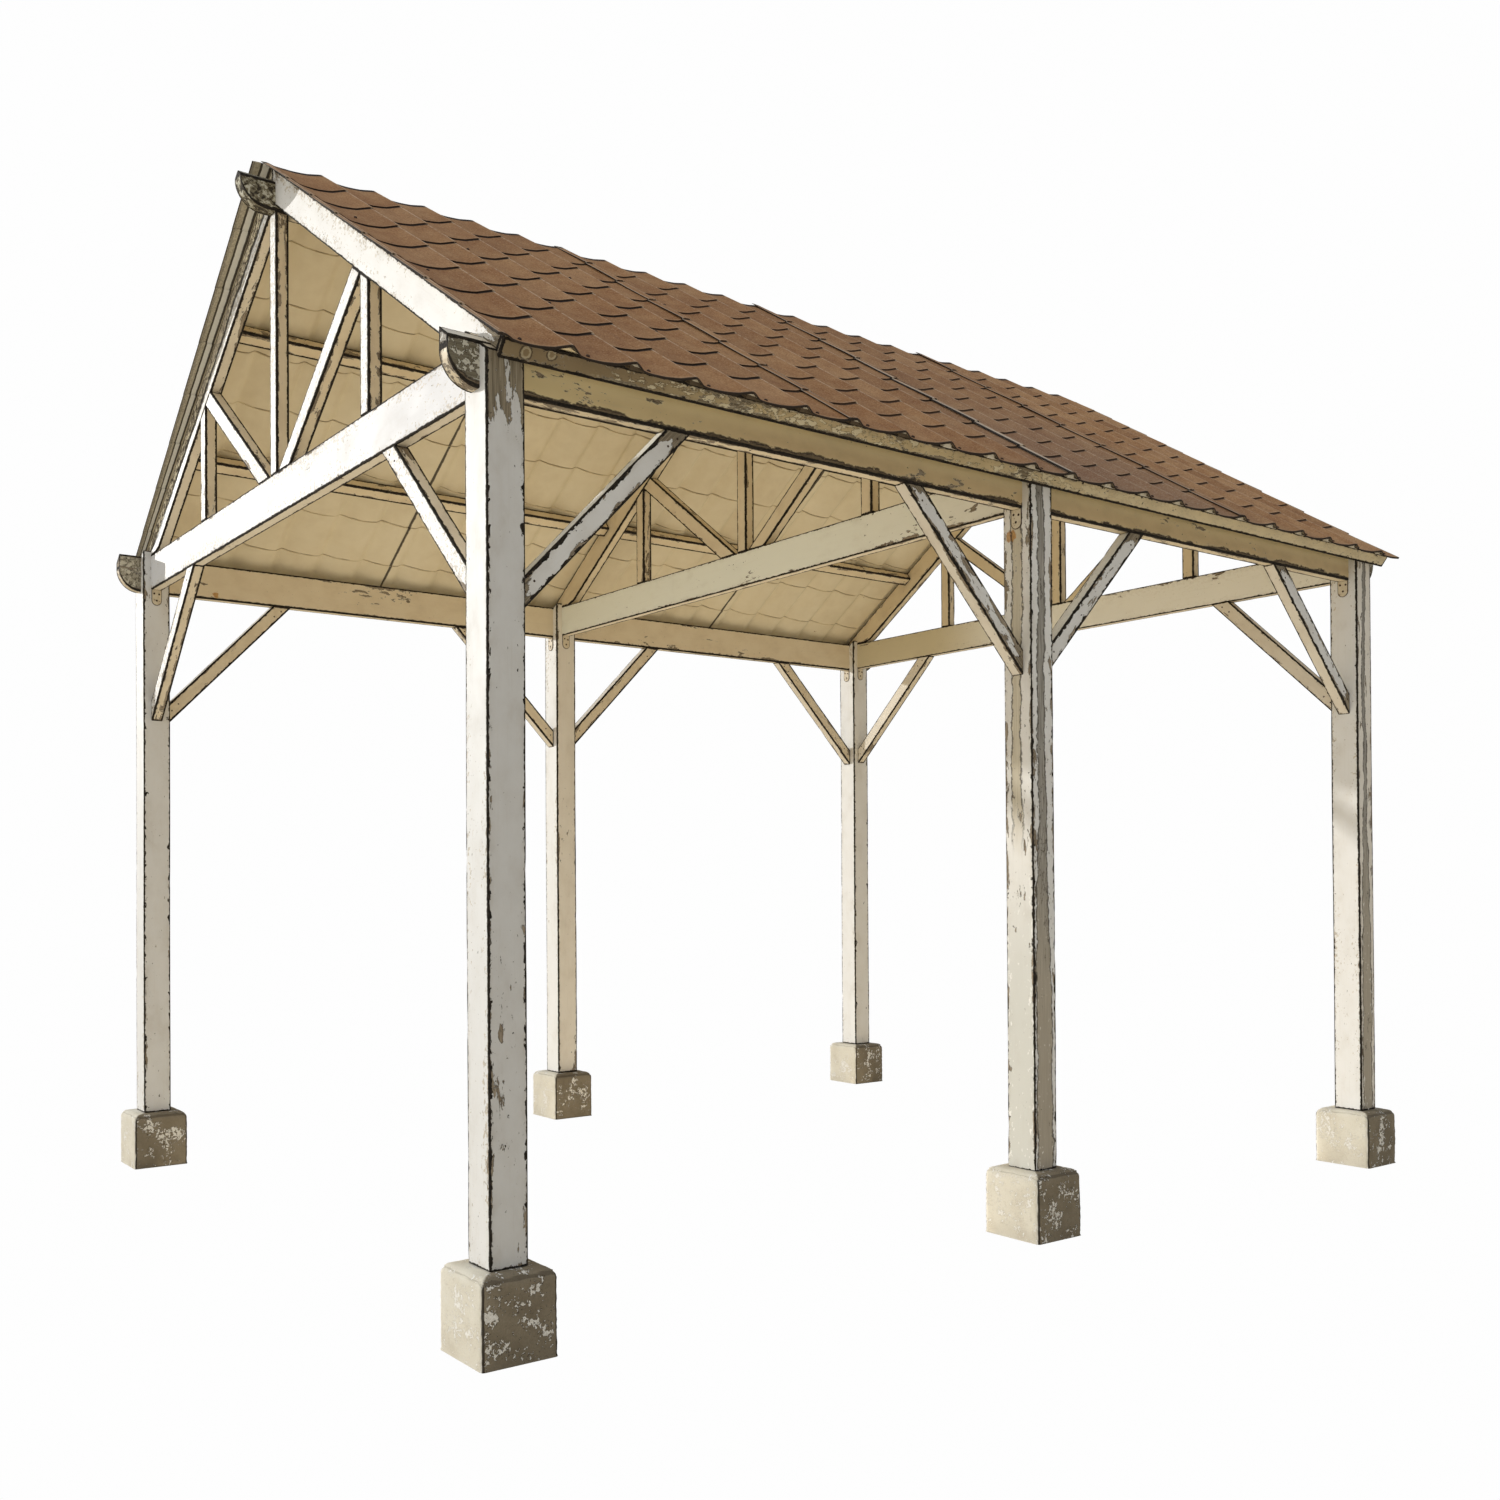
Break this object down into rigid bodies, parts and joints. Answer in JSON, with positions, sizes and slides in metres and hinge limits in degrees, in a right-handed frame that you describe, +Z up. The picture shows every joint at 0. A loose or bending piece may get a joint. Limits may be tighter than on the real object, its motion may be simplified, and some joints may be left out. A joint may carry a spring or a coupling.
{
  "type": "open timber garden gazebo",
  "caption": "Open timber gazebo in worn white paint: posts on concrete footings, king-post trusses, knee braces and a gabled roof of brown tile-effect sheets.",
  "frame": {"origin": "on the ground under the middle of the roof, halfway between the six posts", "axes": "+X across the gables to the right seen from the front gable, +Y along the ridge from the front gable to the rear, +Z up"},
  "size_m": [3.4548, 4.766, 3.9412],
  "materials": {
    "painted_timber": "peeling white paint over weathered timber",
    "fascia_paint": "flaking white paint on softwood boards",
    "concrete": "rough concrete with remains of white paint",
    "roof_tile_sheet": "mottled brown tile-effect sheet, tan on the underside",
    "bracket_steel": "painted steel plate, worn and dusty"
  },
  "bodies": {
    "root": {"fascia_left": "fascia_paint", "fascia_right": "fascia_paint", "footing_front_left": "concrete", "footing_front_right": "concrete", "footing_middle_left": "concrete", "footing_middle_right": "concrete", "footing_rear_left": "concrete", "footing_rear_right": "concrete", "joint_brackets": "bracket_steel", "king_post_front": "painted_timber", "king_post_middle": "painted_timber", "king_post_rear": "painted_timber", "knee_braces_front": "painted_timber", "knee_braces_left_side": "painted_timber", "knee_braces_rear": "painted_timber", "knee_braces_right_side": "painted_timber", "post_front_left": "painted_timber", "post_front_right": "painted_timber", "post_middle_left": "painted_timber", "post_middle_right": "painted_timber", "post_rear_left": "painted_timber", "post_rear_right": "painted_timber", "purlins_left": "painted_timber", "purlins_right": "painted_timber", "queen_studs_front": "painted_timber", "queen_studs_middle": "painted_timber", "queen_studs_rear": "painted_timber", "rafter_front_left": "painted_timber", "rafter_front_right": "painted_timber", "rafter_middle_left": "painted_timber", "rafter_middle_right": "painted_timber", "rafter_rear_left": "painted_timber", "rafter_rear_right": "painted_timber", "ridge_beam": "painted_timber", "roof_sheets_left": "roof_tile_sheet", "roof_sheets_right": "roof_tile_sheet", "side_plate_left": "painted_timber", "side_plate_right": "painted_timber", "tie_beam_front": "painted_timber", "tie_beam_middle": "painted_timber", "tie_beam_rear": "painted_timber", "truss_struts_front": "painted_timber", "truss_struts_middle": "painted_timber", "truss_struts_rear": "painted_timber"}
  },
  "joints": []
}
